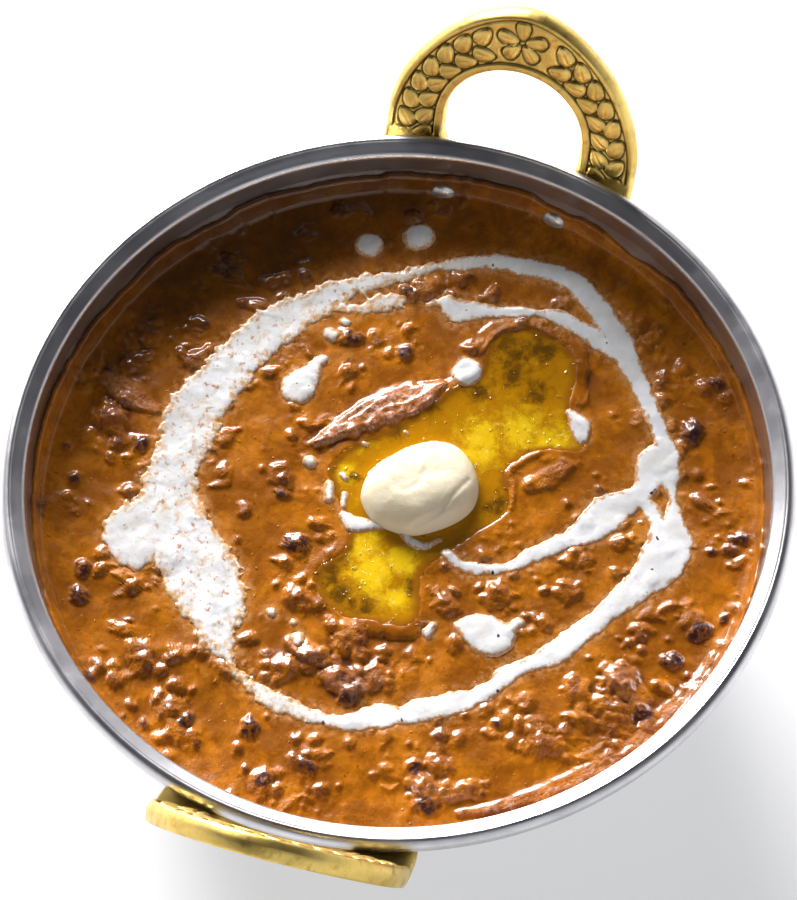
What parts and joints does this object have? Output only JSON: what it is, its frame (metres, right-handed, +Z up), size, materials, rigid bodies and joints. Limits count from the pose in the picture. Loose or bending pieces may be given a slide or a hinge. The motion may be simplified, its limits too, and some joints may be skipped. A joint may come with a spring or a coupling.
{
  "type": "dal makhani",
  "caption": "Lentil curry in a hammered steel karahi with riveted brass handles, topped with a cream swirl, melted butter and a pat of butter.",
  "frame": {"origin": "centre of the flat base, on the surface that the bowl stands on", "axes": "+Z up, X through both handles, the handle with the cream drops beside it at +X"},
  "size_m": [0.2012, 0.165, 0.088],
  "materials": {
    "steel": "polished rim, brushed inside, hammered outside",
    "brass": "cast brass, satin, dark patina in the relief",
    "rivet_steel": "satin",
    "dal": null,
    "melted_butter": null,
    "butter": null,
    "cream": null
  },
  "bodies": {
    "root": {"bowl": "steel", "handle_right": "brass", "handle_left": "brass", "rivet_right_a": "rivet_steel", "rivet_right_b": "rivet_steel", "rivet_left_a": "rivet_steel", "rivet_left_b": "rivet_steel", "dal": "dal", "melted_butter": "melted_butter", "butter_pat": "butter", "cream_swirl": "cream", "cream_drop_1": "cream", "cream_drop_2": "cream", "cream_drop_3": "cream", "cream_drop_4": "cream", "cream_drop_5": "cream", "cream_drop_6": "cream"}
  },
  "joints": []
}
